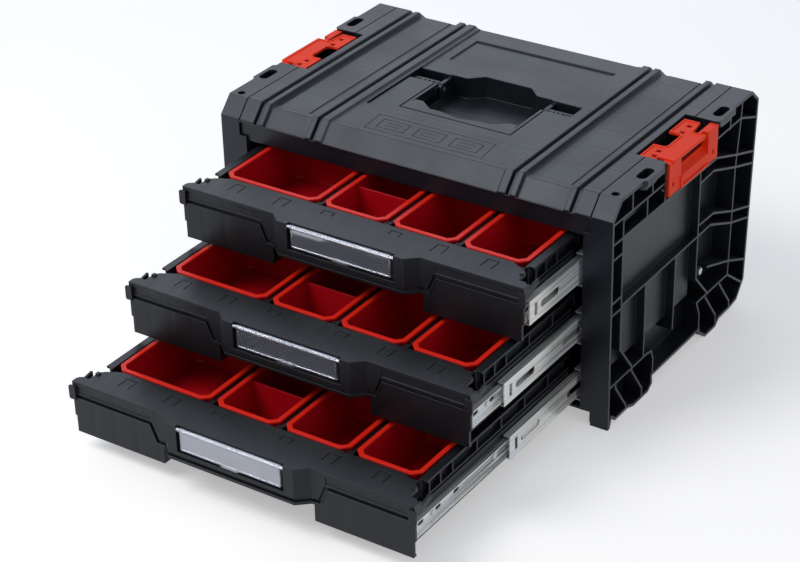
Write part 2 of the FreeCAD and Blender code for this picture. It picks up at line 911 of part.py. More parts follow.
def latch_bay_cut():
    return box(
        recess_inner, seam_half + overrun, recess_front, recess_back,
        recess_floor + frame_web + catch_low_gap + cover_skirt, case_height + overrun)


def top_cover():
    low = cover_bottom
    outside = [(0, low)] + cover_profile(0) + [(case_depth - cover_skirt, low)]
    inside = [(cover_skin, low - overrun)] + cover_profile(cover_skin)
    inside += [(case_depth - cover_skin - cover_skirt, low - overrun)]
    shell = side_prism(outside, -seam_half, seam_half)
    inner_half = seam_half - cover_skirt
    shell = shell.cut(side_prism(inside, -inner_half, inner_half))
    lip = box(
        -seam_half - overrun, seam_half + overrun, -overrun, fascia_recess,
        low - overrun, case_height - front_chamfer_drop - cover_skirt)
    shell = shell.cut(lip)
    fascia = box(
        -opening_half + shell_gap, opening_half - shell_gap, fascia_recess,
        fascia_recess + fascia_thickness, fascia_bottom, low + cover_skirt)
    skirt = box(
        seam_half - cover_skirt, seam_half, frame_strip + shell_gap, slide_panel_back,
        slide_panel_top, low + cover_skirt)
    rear = box(
        -seam_half, seam_half, back_panel_front + back_thickness + back_rib_depth + shell_gap,
        case_depth - cover_skirt, slide_panel_top, low + cover_skirt)
    bays = with_mirror([latch_bay()])
    cover = joined([shell, fascia, rear] + with_mirror([skirt]) + bays + [handle_well()])
    for tool in with_mirror([latch_bay_cut()]) + cover_reliefs():
        cover = cover.cut(tool)
    cover = cover.cut(well_opening())
    cover = cover.cut(box(
        -sunk_field_half, sunk_field_half, sunk_field_front, sunk_field_back,
        zone_level - sunk_field_depth, case_height))
    for line in icon_lines():
        cover = cover.cut(line)
    cover = joined([cover] + with_mirror([handle_ear_plate()]))
    for pin in handle_pins(handle_pin_gap):
        cover = cover.cut(pin)
    return cover


# Handle

def grip_wave():
    points = []
    for across, along in grip_wave_shares:
        depth = handle_bar_back + along * (handle_grip_back - handle_bar_back)
        points.append((across * handle_leg_inner, depth))
    middle = handle_bar_back + grip_wave_middle_share * (handle_grip_back - handle_bar_back)
    centre = len(points) // 2
    return points[:centre] + [(0, middle)] + points[centre:]


def handle_line_cut(top):
    outer = handle_leg_inner + handle_line_inset + handle_line
    front = handle_bar_back + handle_line_inset
    back = handle_leg_end + overrun
    low = top - handle_line_depth
    frame = box(-outer, outer, front, back, low, top + overrun)
    return frame.cut(box(
        -outer + handle_line, outer - handle_line, front + handle_line, back, low, top + overrun))


def handle():
    top = zone_level
    bottom = top - handle_thickness
    leg_outer = handle_half
    leg_inner = handle_leg_inner + handle_side_gap
    bar = box(-leg_outer, leg_outer, handle_front, handle_bar_back, bottom, top)
    leg = box(leg_inner, leg_outer, handle_front, handle_leg_end, bottom, top)
    lip_points = [(-handle_leg_inner, handle_bar_back - overrun)] + grip_wave()
    lip_points += [(handle_leg_inner, handle_bar_back - overrun)]
    lip = plan_prism(lip_points, bottom + handle_lip_drop, top)
    leg_link = box(handle_leg_inner - handle_side_gap, leg_inner, handle_front, handle_bar_back, bottom, top)
    arm = box(
        leg_inner, leg_outer, handle_leg_end - overrun, handle_pivot_y,
        pivot_z - handle_barrel_radius, pivot_z + handle_barrel_radius / 2)
    barrel = rod_x(handle_pivot_y, pivot_z, handle_barrel_radius, leg_inner, leg_outer)
    teeth = []
    for number in range(handle_tooth_count):
        start = leg_inner + handle_wall * 2 + number * handle_tooth * 2
        teeth.append(box(
            start, start + handle_tooth, handle_leg_end - overrun, handle_leg_end + handle_tooth_reach,
            pivot_z, top - handle_tooth_drop))
    strip = box(
        hollow_half + handle_side_gap, leg_inner, handle_bar_back - overrun, handle_leg_end,
        top - handle_wall, top)
    shape = joined([bar, lip] + with_mirror([leg, leg_link, strip, arm, barrel] + teeth))
    leg_hollow = box(
        leg_inner + handle_wall, leg_outer - handle_wall, handle_front + handle_wall,
        handle_leg_end - handle_wall, bottom - overrun, top - handle_wall)
    bar_hollow = box(
        -leg_inner, leg_inner, handle_front + handle_wall, handle_bar_back - handle_wall,
        bottom - overrun, top - handle_wall)
    for tool in with_mirror([leg_hollow]) + [bar_hollow, handle_line_cut(top)]:
        shape = shape.cut(tool)
    for pin in handle_pins(handle_pin_gap):
        shape = shape.cut(pin)
    return shape


def handle_pins(gap):
    low = hollow_half
    high = handle_half + handle_gap + well_wall
    pin = rod_x(handle_pivot_y, pivot_z, handle_pin_radius + gap, low - gap, high + gap)
    return with_mirror([pin])


# Latches

def latch_pin_spans():
    front_low = recess_front - frame_web
    front_high = recess_front + latch_pin_depth
    back_low = recess_back - latch_pin_depth
    back_high = recess_back + frame_web
    return [
        (latch_axis_x, latch_axis_z, front_low, front_high),
        (latch_axis_x, latch_axis_z, back_low, back_high)]


def latch_pins():
    return [rod_y(x, z, latch_pin_radius, low, high) for x, z, low, high in latch_pin_spans()]


def latch_plan():
    low_y = recess_front + latch_gap * 2
    high_y = recess_back - latch_gap - latch_fold
    outer = rib_face + latch_reach
    notch_x = latch_inner + latch_notch_depth
    prong_x = latch_inner + latch_prong_width
    return [
        (latch_inner, low_y), (prong_x, low_y), (prong_x, latch_body_front),
        (outer, latch_body_front), (outer, latch_body_back), (prong_x + latch_plate, latch_body_back),
        (prong_x, high_y), (latch_inner, high_y), (latch_inner, latch_notch_back),
        (notch_x - latch_plate, latch_notch_back), (notch_x, latch_notch_back - latch_plate),
        (notch_x, latch_notch_front + latch_plate), (notch_x - latch_plate, latch_notch_front),
        (latch_inner, latch_notch_front)]


def latch_top_plate(top):
    plate = plan_prism(latch_plan(), top - latch_plate, top)
    face = Part.Face(Part.makePolygon([vector(x, y, top) for x, y in latch_plan() + latch_plan()[:1]]))
    inner = face.makeOffset2D(-latch_rim).extrude(along_z * -latch_rim_height)
    return plate.cut(inner)


def latch_arm(low_y, high_y, top):
    outer = rib_face + latch_reach - latch_plate / 2
    return box(latch_lug_inner, outer, low_y, high_y, latch_bottom, top - latch_plate / 2)


def latch_outer_panel():
    outer = rib_face + latch_reach
    low_y = latch_lug_front - overrun
    high_y = latch_lug_back + overrun
    bar = front_prism([
        (latch_lug_inner, latch_bottom), (outer, latch_bottom), (outer, latch_bar_top),
        (latch_lug_inner, latch_bar_back_top)], low_y, high_y)
    step = box(
        outer - latch_panel_step, outer + overrun, low_y + latch_panel_inset, high_y + overrun,
        latch_bottom + latch_panel_low, latch_bar_top + overrun)
    return bar.cut(step)


def latch():
    top = case_height - latch_top_drop
    outer = rib_face + latch_reach
    low_y = recess_front + latch_gap
    high_y = recess_back - latch_gap
    fold = box(outer - latch_plate, outer, latch_body_front, latch_body_back, top - latch_lip, top)
    web = box(
        latch_lug_inner, latch_lug_inner + latch_plate, latch_body_front, high_y,
        latch_bar_top, top - latch_plate / 2)
    slot = box(
        latch_lug_inner - overrun, outer, latch_lug_front, latch_lug_back,
        latch_bar_back_top, top - latch_lip)
    shape = joined([
        latch_top_plate(top), fold, latch_arm(low_y, latch_lug_front, top),
        latch_arm(latch_lug_back, high_y, top), latch_outer_panel(), web.cut(slot)])
    for number in range(latch_tooth_count):
        start = latch_inner + latch_prong_width / 2 + number * latch_tooth * 2
        shape = shape.cut(box(
            start, start + latch_tooth, low_y - overrun, low_y + latch_tooth,
            top - latch_plate - overrun, top + overrun))
    for across_share, along_share in latch_window_shares:
        corner_x = latch_inner + across_share * (outer - latch_inner)
        corner_y = low_y + along_share * (high_y - low_y)
        shape = shape.cut(box(
            corner_x, corner_x + latch_window, corner_y, corner_y + latch_window,
            top - latch_plate - overrun, top + overrun))
    for place in latch_arm_windows:
        level = case_height - latch_arm_window_drop
        shape = shape.cut(box(
            outer - latch_plate * 2, outer + overrun, place, place + latch_arm_window,
            level, level + latch_arm_window))
    for x, z, low, high in latch_pin_spans():
        shape = shape.cut(rod_y(
            x, z, latch_pin_radius + latch_pin_gap, low - latch_pin_gap, high + latch_pin_gap))
    return shape


# Drawer parts are drawn closed, with the drawer's top at zero height, and then placed

def front_outline(out):
    return [
        (-drawer_half, -out), (-bulge_foot_half, -out), (-bulge_half, -bulge - out),
        (bulge_half, -bulge - out), (bulge_foot_half, -out), (drawer_half, -out)]


def front_slab(out, back, low_z, high_z):
    outline = front_outline(out)
    return plan_prism(outline + [(drawer_half, back), (-drawer_half, back)], low_z, high_z)


def front_skin(out, thickness, low_z, high_z):
    skin = front_slab(out, thickness - out, low_z, high_z)
    inner_points = [(x, y + thickness) for x, y in front_outline(out)]
    back = thickness - out + overrun
    hollow = plan_prism(inner_points + [(drawer_half, back), (-drawer_half, back)], low_z, high_z)
    return skin.cut(hollow)


def drawer_ledge():
    half = drawer_half
    inner = half - ledge_waist_inset
    corner_back = ledge_corner + ledge_corner_cut
    step_back = corner_back + ledge_waist_length
    side = [
        (half, ledge_corner), (half - ledge_corner_cut, corner_back), (inner, corner_back),
        (inner, step_back), (half - ledge_step_inset, step_back + ledge_rear_step),
        (half - ledge_rear_inset, ledge_back)]
    points = front_outline(0) + side + [(-x, y) for x, y in reversed(side)]
    return plan_prism(points, -ledge_thickness, 0)


def ledge_knob():
    outer = drawer_half - ledge_waist_inset
    back = ledge_corner + ledge_corner_cut + ledge_waist_length
    return box(outer - knob_width, outer, back - knob_width, back, -ledge_thickness, knob_height)


def ledge_tongues():
    tools = []
    for place_share, length in zip(tongue_places_shares, tongue_lengths):
        low = place_share * drawer_half - tongue_width / 2
        high = low + tongue_width
        front = tongue_back - length
        for low_x, high_x, low_y in (
                (low, low + tongue_line, front), (high - tongue_line, high, front),
                (low, high, tongue_back - tongue_line)):
            tools.append(box(
                low_x, high_x, low_y, tongue_back, -ledge_thickness - overrun, overrun))
    return with_mirror(tools)


# The groove and its lip run along the side panel, down its slanted end and under the bulge

def groove_path():
    band_middle = -band_bottom - groove_width / 2
    strip_middle = -strip_top + groove_width / 2
    points = [
        (drawer_half - groove_end_inset, band_middle), (slant_top_half, band_middle),
        (slant_bottom_half, strip_middle), (bulge_foot_half - overrun, strip_middle)]
    return [vector(x, 0, z) for x, z in points]


def path_beside(points, distance):
    beside = []
    lines = [(end - start).normalize().cross(along_y) for start, end in zip(points, points[1:])]
    for point, first, second in zip(points, lines[:1] + lines, lines + lines[-1:]):
        both = first + second
        beside.append(point + both * (2 * distance / both.dot(both)))
    return beside


def path_band(near, far, low_y, high_y):
    corners = path_beside(groove_path(), near) + path_beside(groove_path(), far)[::-1]
    return front_prism([(corner.x, corner.z) for corner in corners], low_y, high_y)


def under_bulge(low_z, high_z):
    reach = bulge_foot_half + overrun / 2
    return box(-reach, reach, -bulge * 2, front_slab_reach, low_z, high_z)


def front_grooves():
    side = path_band(-groove_width / 2, groove_width / 2, -bulge, groove_depth)
    face = box(
        slant_top_half, drawer_half - groove_end_inset, -bulge, band_recess_depth,
        -band_bottom + band_recess_lip, -band_recess_top)
    low = -strip_top
    high = groove_width - strip_top
    around = front_slab(overrun, front_slab_reach, low, high)
    keep_points = [(x, y + groove_depth) for x, y in front_outline(0)]
    keep = plan_prism(
        keep_points + [(drawer_half, front_slab_reach), (-drawer_half, front_slab_reach)], low, high)
    return with_mirror([side, face]) + [around.cut(keep).common(under_bulge(low, high))]


def front_lips():
    near = groove_width / 2
    side = path_band(near, near + lip_width, -lip_out, front_wall / 2)
    low = -strip_top - lip_width
    under = front_skin(lip_out, front_wall, low, -strip_top).common(under_bulge(low, -strip_top))
    return with_mirror([side]) + [under]


def drawer_ear():
    ear_outer = opening_half + ear_lap
    ear_inner = ear_outer - ear_width
    face = box(ear_inner, ear_outer, -ear_out, ear_thickness - ear_out, -ear_bottom, -ear_top)
    root = box(ear_inner, side_panel_outer, -ear_out, front_wall, -ear_bottom, -ear_top)
    ear = face.fuse(root).removeSplitter()
    corners = [edge for edge in ear.Edges if is_outer_corner(edge, ear_outer)]
    return ear.makeFillet(ear_round, corners)


def is_outer_corner(edge, outer):
    place = edge.BoundBox
    runs_back = max(place.XLength, place.ZLength) < ear_thickness / 2
    return runs_back and place.XMin > outer - ear_thickness / 2


def drawer_front():
    ledge = drawer_ledge()
    skin = front_skin(0, front_wall, -strip_bottom, -ledge_thickness / 2)
    panel = box(
        side_panel_inner, side_panel_outer, 0, front_wall, -front_height, -band_bottom)
    lip = box(
        side_panel_inner, side_panel_outer, 0, bottom_lip,
        -front_height, -front_height + bottom_lip_thickness)
    wall = box(
        side_panel_inner, side_panel_inner + return_wall, 0, tray_front - shell_gap,
        -front_height, -ledge_thickness / 2)
    cheek = box(
        drawer_half - return_wall, drawer_half, 0, cheek_depth, -cheek_height, -ledge_thickness / 2)
    hook = side_prism([
        (0, -hook_bottom), (cheek_depth, -hook_bottom), (hook_back, -hook_top),
        (hook_back, -hook_top + hook_thickness), (0, -hook_top)],
        drawer_half - return_wall, drawer_half)
    backing = box(
        -label_recess_half - front_wall, label_recess_half + front_wall,
        -bulge + label_recess_depth, -bulge + label_recess_depth + label_back_wall,
        -label_recess_bottom - front_wall, -ledge_thickness / 2)
    shape = joined([ledge, skin, backing] + with_mirror([panel, lip, wall, cheek, hook]))
    recess = box(
        -label_recess_half, label_recess_half, -bulge - overrun, -bulge + label_recess_depth,
        -label_recess_bottom, overrun)
    for tool in [recess] + front_grooves() + ledge_tongues():
        shape = shape.cut(tool)
    shape = joined([shape] + front_lips() + with_mirror([drawer_ear(), ledge_knob()]))
    for pin in label_pins(label_pin_gap):
        shape = shape.cut(pin)
    return shape


def label_pins(gap):
    pin = rod_x(
        -label_axis_forward, -label_axis_drop, label_pin_radius + gap,
        label_half, label_recess_half + label_pin_length + gap)
    return with_mirror([pin])


def label_window():
    face = -bulge + label_set_back
    plate = box(
        -label_half, label_half, face, face + label_plate, -label_bottom, -label_axis_drop)
    border = box(
        -label_half, label_half, face - label_edge_out, face, -label_bottom, -label_axis_drop)
    border = border.cut(box(
        -label_half + label_edge, label_half - label_edge, face - label_edge_out, face,
        -label_bottom + label_edge, -label_axis_drop))
    bar = rod_x(
        -label_axis_forward, -label_axis_drop, label_bar_radius, -label_half, label_half)
    bar_corner = box(
        -label_half, label_half, -label_axis_forward - label_bar_radius, -label_axis_forward,
        -label_axis_drop, -label_axis_drop + label_bar_radius)
    lugs = rod_x(
        -label_axis_forward, -label_axis_drop, label_lug_radius, -label_lug_half, label_lug_half)
    clip = box(
        -label_clip_half, label_clip_half, face - label_clip_out, face + label_plate,
        -label_bottom - label_clip_height / 2, -label_bottom + label_clip_height)
    bumps = []
    for share in label_bump_places_shares:
        bumps.append(rod_y(
            share * label_half, -label_bottom + label_bump_radius, label_bump_radius,
            face - label_bump_out, face))
    return joined([plate, border, bar, bar_corner, lugs, clip] + with_mirror(bumps) + label_pins(0))


def drawer_tray():
    inner = tray_inner_half
    outer = inner + tray_wall
    floor = box(-outer, outer, tray_front, tray_back, -tray_bottom, -tray_bottom + tray_floor)
    front = box(-outer, outer, tray_front, tray_front + tray_wall, -tray_bottom, -ledge_thickness - shell_gap)
    back = box(-outer, outer, tray_back - tray_wall, tray_back, -tray_bottom, 0)
    wall = box(inner, outer, tray_front, tray_back, -tray_bottom, 0)
    flange = box(inner, tray_flange_half, ledge_back + shell_gap, tray_back, -tray_flange, 0)
    rib = box(outer, drawer_side, ledge_back, tray_back, -cell_rib_drop - cell_rib, -cell_rib_drop)
    rail_face = box(
        drawer_side - rail_plate, drawer_side, rail_front, tray_back, -rail_bottom, -rail_top)
    rail_ribs = []
    for level in (-rail_top - rail_rib, -rail_bottom):
        rail_ribs.append(box(inner, drawer_side, rail_front, tray_back, level, level + rail_rib))
    cells = []
    for place in [share * tray_back for share in cell_places_shares]:
        cells.append(box(
            outer, drawer_side, place - cell_rib / 2, place + cell_rib / 2,
            -cell_rib_drop, -tray_flange))
    walls = []
    holes = []
    for centre in divider_centres:
        walls.append(box(
            centre - divider / 2, centre + divider / 2, tray_front, tray_back,
            -tray_bottom, -divider_top))
        walls.append(box(
            centre - divider_rail / 2, centre + divider_rail / 2, ledge_back + shell_gap, tray_back,
            -divider_top - divider_rail_height, -divider_top))
        post_y = ledge_back + shell_gap + post_radius
        post = rod_z(centre, post_y, post_radius, -post_depth, -post_drop)
        walls.append(post)
        holes.append(rod_z(centre, post_y, post_hole_radius, -post_depth / 2, overrun))
    sides = with_mirror([wall, flange, rib, rail_face] + rail_ribs + cells)
    shape = joined([floor, front, back] + sides + walls)
    screw_holes = []
    for y, z in drawer_screw_points():
        screw_holes.append(rod_x(
            y, z, drawer_screw_radius + drawer_screw_gap, drawer_side - rail_plate - overrun,
            drawer_side + overrun))
    for hole in holes + with_mirror(screw_holes):
        shape = shape.cut(hole)
    return shape


# Bins

def soft_outline(points, radius, z):
    corners = [vector(x, y, z) for x, y in points]
    edges = []
    starts = []
    for before, corner, after in zip(corners[-1:] + corners, corners, corners[1:] + corners[:1]):
        back = (before - corner).normalize()
        onward = (after - corner).normalize()
        half_angle = back.getAngle(onward) / 2
        reach = radius / math.tan(half_angle)
        middle = (back + onward).normalize() * (radius / math.sin(half_angle) - radius)
        starts.append(corner + back * reach)
        edges.append(Part.Arc(corner + back * reach, corner + middle, corner + onward * reach).toShape())
    sides = []
    for edge, start in zip(edges, starts[1:] + starts[:1]):
        sides.append(edge)
        sides.append(Part.makeLine(edge.lastVertex(True).Point, start))
    return Part.Wire(sides)


def bin_outline(span, inset, z):
    low_x, high_x, low_y, high_y = span
    low_x, low_y = low_x + inset, low_y + inset
    high_x, high_y = high_x - inset, high_y - inset
    leg = bin_corner - inset / 2
    points = [
        (low_x + leg, low_y), (high_x - leg, low_y), (high_x, low_y + leg), (high_x, high_y - leg),
        (high_x - leg, high_y), (low_x + leg, high_y), (low_x, high_y - leg), (low_x, low_y + leg)]
    return soft_outline(points, bin_corner_round, z)


def bin_form(span, inset, low, high):
    foot = bin_outline(span, inset + bin_draft + bin_foot_round / 2, low)
    heel = bin_outline(span, inset + bin_draft, low + bin_foot_round)
    return Part.makeLoft([foot, heel, bin_outline(span, inset, high)], True, True)


def bin_tub(span, kind):
    bottom = tray_floor - tray_bottom
    top = bin_above
    rim_low = top - bin_rim_height
    mouth_low = rim_low - bin_rim_height
    body = bin_form(span, bin_rim_over, bottom, top)
    rim = Part.Face(bin_outline(span, 0, rim_low)).extrude(along_z * bin_rim_height)
    hollow = bin_form(span, bin_rim_over + bin_wall, bottom + bin_wall, rim_low)
    if kind == "divided":
        low_x, high_x, low_y, high_y = span
        place = low_y + partition_share * (high_y - low_y)
        hollow = hollow.cut(box(low_x, high_x, place, place + partition, bottom, top))
    mouth = Part.Face(bin_outline(span, bin_rim, mouth_low)).extrude(
        along_z * (top - mouth_low + overrun))
    return body.fuse(rim).cut(hollow).cut(mouth).removeSplitter()


def bin_spans(kind):
    edges = [-tray_inner_half - divider / 2] + divider_centres + [tray_inner_half + divider / 2]
    spans = []
    for column, left, right in zip(bin_columns, edges, edges[1:]):
        low_x = left + divider / 2 + bin_side_gap
        high_x = right - divider / 2 - bin_side_gap
        current = ""
        for row, word in enumerate(column):
            low_y = bin_front + row * bin_pitch
            if word == kind:
                spans.append((low_x, high_x, low_y, low_y + bin_length))
            if word == "on" and current == kind:
                spans[-1] = (low_x, high_x, spans[-1][2], low_y + bin_length)
            if word != "on":
                current = word
    return spans


def bins(kind):
    return [bin_tub(span, kind) for span in bin_spans(kind)]


# Slides: a place across the slide is measured from the slide panel towards the drawer

def across(place):
    return opening_half - place


def channel(web_place, flange_end, height, sheet, low_y, high_y):
    web = box(
        across(web_place + sheet), across(web_place), low_y, high_y, -height / 2, height / 2)
    flange_low = min(across(flange_end), across(web_place + sheet))
    flange_high = max(across(flange_end), across(web_place))
    top = box(flange_low, flange_high, low_y, high_y, height / 2 - sheet, height / 2)
    bottom = box(flange_low, flange_high, low_y, high_y, -height / 2, -height / 2 + sheet)
    return joined([web, top, bottom])


def slot_hole(centre_y, length, width, low_x, high_x):
    half_run = (length - width) / 2
    middle = box(low_x, high_x, centre_y - half_run, centre_y + half_run, -width / 2, width / 2)
    ends = [rod_x(end, 0, width / 2, low_x, high_x) for end in (centre_y - half_run, centre_y + half_run)]
    return joined([middle] + ends)


def rivet_points():
    points = []
    for top in drawer_tops:
        for share in rivet_places_shares:
            points.append((outer_front + share * outer_length, top - slide_drop))
    return points


def drawer_screw_points():
    return [(inner_front + share * inner_length, -slide_drop) for share in drawer_screw_places_shares]


def outer_member():
    shape = channel(
        0, outer_flange, outer_height, slide_sheet, outer_front, outer_front + outer_length)
    for share in rivet_places_shares:
        shape = shape.cut(rod_x(
            outer_front + share * outer_length, 0, rivet_radius + drawer_screw_gap,
            across(slide_sheet + overrun), across(-overrun)))
    return shape


def middle_member():
    end = middle_front + middle_length
    shape = channel(
        middle_web_place, middle_flange_end, middle_height, slide_sheet, middle_front, end)
    low_x = across(middle_web_place + slide_sheet + overrun)
    high_x = across(middle_web_place - overrun)
    place = middle_front + middle_slot_start + middle_slot_length / 2
    while place + middle_slot_length < end:
        shape = shape.cut(slot_hole(place, middle_slot_length, middle_slot_width, low_x, high_x))
        place = place + middle_slot_pitch
    notch_front = middle_front + middle_notch_place
    notch = box(
        low_x, high_x, notch_front, notch_front + middle_notch_width,
        -middle_notch_height / 2, middle_notch_height / 2)
    return shape.cut(notch)


def inner_member():
    end = inner_front + inner_length
    web_place = slide_thickness - slide_sheet
    shape = channel(web_place, inner_flange_start, inner_height, slide_sheet, inner_front, end)
    low_x = across(slide_thickness + overrun)
    high_x = across(web_place - overrun)
    for place in inner_slot_places:
        shape = shape.cut(slot_hole(
            inner_front + place, inner_slot_length, inner_slot_width, low_x, high_x))
    for y, z in drawer_screw_points():
        shape = shape.cut(rod_x(y, 0, drawer_screw_radius + drawer_screw_gap, low_x, high_x))
    return shape


def ball_cage(web_place, end_place, sheet, length, height, ball_place, radius, count):
    half = length / 2
    cage = channel(web_place, end_place, height, sheet, -half, half)
    balls = []
    level = height / 2 - sheet / 2
    pitch = length / count
    for number in range(count):
        y = pitch * number + pitch / 2 - half
        for z in (level, -level):
            hole = rod_z(
                across(ball_place), y, radius + ball_hole_gap, z - sheet, z + sheet)
            cage = cage.cut(hole)
            balls.append(Part.makeSphere(radius, vector(across(ball_place), y, z)))
    return [cage] + balls


def outer_cage():
    gap_middle = (outer_height / 2 - slide_sheet + middle_height / 2) / 2
    return ball_cage(
        outer_cage_place, outer_cage_end, outer_cage_sheet, outer_cage_length,
        2 * gap_middle + outer_cage_sheet, outer_ball_place, outer_ball_radius, outer_ball_count)


def inner_cage():
    gap_middle = (middle_height / 2 - slide_sheet + inner_height / 2) / 2
    return ball_cage(
        inner_cage_place, inner_cage_end, inner_cage_sheet, inner_cage_length,
        2 * gap_middle + inner_cage_sheet, inner_ball_place, inner_ball_radius, inner_ball_count)


def slide_rivets():
    rivets = []
    for y, z in rivet_points():
        shank = rod_x(y, z, rivet_radius, across(slide_sheet), across(-slide_panel_thickness))
        head = rod_x(y, z, rivet_head_radius, across(slide_sheet + rivet_head), across(slide_sheet))
        rivets.append(shank.fuse(head).removeSplitter())
    return with_mirror(rivets)


def drawer_screws():
    screws = []
    face = across(slide_thickness - slide_sheet)
    for y, z in drawer_screw_points():
        head = rod_x(y, z, drawer_screw_head_radius, face, face + drawer_screw_head)
        shank = rod_x(y, z, drawer_screw_radius, face - slide_sheet - drawer_screw_length, face)
        screws.append(shank.fuse(head).removeSplitter())
    return with_mirror(screws)


# Writing the parts

def write(name, shapes, y=0, z=0):
    solids = [moved(shape, 0, model_shift + y, z) for shape in shapes]
    compound = solids[0] if len(solids) == 1 else Part.makeCompound(solids)
    compound.exportStep(os.path.join("parts", name + ".step"))


def write_pair(name, shape, y=0, z=0):
    write(name + "_left", [mirrored(shape)], y, z)
    write(name + "_right", [shape], y, z)


def write_case():
    write_pair("side_frame", side_frame())
    write_pair("slide_panel", slide_panel())
    write("top_cover", [top_cover()])
    write("back_panel", [back_panel()])
    write("floor_panel", [floor_panel()])
    write("handle", [handle()])
    write("handle_pins", handle_pins(0))
    write_pair("latch", latch())
    write("latch_pins", with_mirror(latch_pins()))
    write("frame_screws", with_mirror(frame_screws()))
    write("slide_rivets", slide_rivets())


def write_drawer(number):
    name = drawer_names[number]
    height = drawer_tops[number]
    out = drawer_out[number]
    stage = middle_out[number]
    slide_z = height - slide_drop
    write(name + "_drawer_tray", [drawer_tray()], -out, height)
    write(name + "_drawer_front", [drawer_front()], -out, height)
    write(name + "_label_window", [label_window()], -out, height)
    for kind in ("wide", "divided", "long"):
        write(name + "_bins_" + kind, bins(kind), -out, height)
    write(name + "_drawer_screws", drawer_screws(), -out, height)
    write_pair(name + "_slide_outer", outer_member(), 0, slide_z)
    write_pair(name + "_slide_middle", middle_member(), -stage, slide_z)
    write_pair(name + "_slide_inner", inner_member(), -out, slide_z)
    outer_middle = (outer_front + outer_length + middle_front + middle_length) / 4
    inner_middle = (middle_front + middle_length + inner_front + inner_length) / 4
    write(name + "_outer_cages", with_mirror(outer_cage()), outer_middle - stage / 2, slide_z)
    write(name + "_inner_cages", with_mirror(inner_cage()), inner_middle - (stage + out) / 2, slide_z)


def main():
    os.makedirs("parts", exist_ok=True)
    write_case()
    for number in range(drawer_count):
        write_drawer(number)


main()
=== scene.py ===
import json
import math

import bpy
from mathutils import Matrix, Vector

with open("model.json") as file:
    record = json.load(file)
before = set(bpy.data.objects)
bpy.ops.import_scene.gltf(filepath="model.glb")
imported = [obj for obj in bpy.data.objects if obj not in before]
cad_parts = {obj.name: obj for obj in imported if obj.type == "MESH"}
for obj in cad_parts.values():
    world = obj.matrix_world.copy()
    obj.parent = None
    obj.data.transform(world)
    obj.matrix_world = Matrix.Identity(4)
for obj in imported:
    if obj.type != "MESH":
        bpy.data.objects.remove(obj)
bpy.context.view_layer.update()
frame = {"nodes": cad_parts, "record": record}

MM = 0.001

# Camera, fitted to the photograph's edges: place in mm, angles in degrees
CAMERA_PLACE = (1068.9, -1580.65, 1185.1)
CAMERA_TURN = 34.39
CAMERA_DIP = 29.66
CAMERA_ROLL = -1.525
CAMERA_LENS = 99.96
SENSOR_WIDTH = 36.0
CAMERA_REACH = 20


def place_camera():
    turn, dip, roll = (math.radians(angle) for angle in (CAMERA_TURN, CAMERA_DIP, CAMERA_ROLL))
    level = Vector((math.cos(turn), math.sin(turn), 0))
    ahead = Vector((-math.sin(turn) * math.cos(dip), math.cos(turn) * math.cos(dip), -math.sin(dip)))
    above = level.cross(ahead)
    right = level * math.cos(roll) + above * math.sin(roll)
    up = above * math.cos(roll) - level * math.sin(roll)
    camera = bpy.data.cameras.new("camera")
    camera.lens = CAMERA_LENS
    camera.sensor_width = SENSOR_WIDTH
    camera.sensor_fit = "HORIZONTAL"
    camera.clip_end = CAMERA_REACH
    holder = bpy.data.objects.new("camera", camera)
    bpy.context.collection.objects.link(holder)
    turned = Matrix((right, up, -ahead)).transposed().to_4x4()
    holder.matrix_world = Matrix.Translation(Vector(CAMERA_PLACE) * MM) @ turned
    bpy.context.scene.camera = holder


# Light and floor: places and sizes in metres, power in watts

LIGHT_TARGET = (0, 0, 0.12)
STUDIO_LIGHTS = (
    ("key_light", (-0.9, -1.1, 1.9), 1.2, 1.2, 25, (1.0, 0.985, 0.97)),
    ("back_light", (-1.15, 1.75, 1.45), 2.6, 1.4, 8.5, (0.62, 0.77, 1.0)),
    ("side_light", (2.2, -0.3, 0.8), 1.0, 1.4, 7, (0.97, 0.98, 1.0)))
FILL_COLOUR = (0.9, 0.93, 1.0, 1)
FILL_STRENGTH = 0.3
WHITE = (1, 1, 1, 1)
WHITE_STRENGTH = 1.0
FLOOR_HALF = 6.0
FLOOR_PAPER = (0.9, 0.9, 0.9, 1)
FLOOR_GLOW = 0.40


def area_light(name, place, width, height, power, colour):
    light = bpy.data.lights.new(name, "AREA")
    light.shape = "RECTANGLE"
    light.size = width
    light.size_y = height
    light.energy = power
    light.color = colour
    holder = bpy.data.objects.new(name, light)
    bpy.context.collection.objects.link(holder)
    holder.location = place
    holder.rotation_euler = (Vector(LIGHT_TARGET) - Vector(place)).to_track_quat("-Z", "Y").to_euler()


def background_seen(tree):
    path = tree.nodes.new("ShaderNodeLightPath")
    seen = path.outputs["Is Camera Ray"]
    for ray in ("Is Glossy Ray", "Is Transmission Ray"):
        seen = math_node(tree, "MAXIMUM", seen, path.outputs[ray])
    return seen


def light_studio():
    for light in STUDIO_LIGHTS:
        area_light(*light)
    world = bpy.data.worlds.new("studio")
    bpy.context.scene.world = world
    world.use_nodes = True
    nodes = world.node_tree.nodes
    links = world.node_tree.links
    nodes.clear()
    output = nodes.new("ShaderNodeOutputWorld")
    fill = nodes.new("ShaderNodeBackground")
    fill.inputs["Color"].default_value = FILL_COLOUR
    fill.inputs["Strength"].default_value = FILL_STRENGTH
    seen = nodes.new("ShaderNodeBackground")
    seen.inputs["Color"].default_value = WHITE
    seen.inputs["Strength"].default_value = WHITE_STRENGTH
    mix = nodes.new("ShaderNodeMixShader")
    links.new(background_seen(world.node_tree), mix.inputs["Fac"])
    links.new(fill.outputs[0], mix.inputs[1])
    links.new(seen.outputs[0], mix.inputs[2])
    links.new(mix.outputs[0], output.inputs["Surface"])


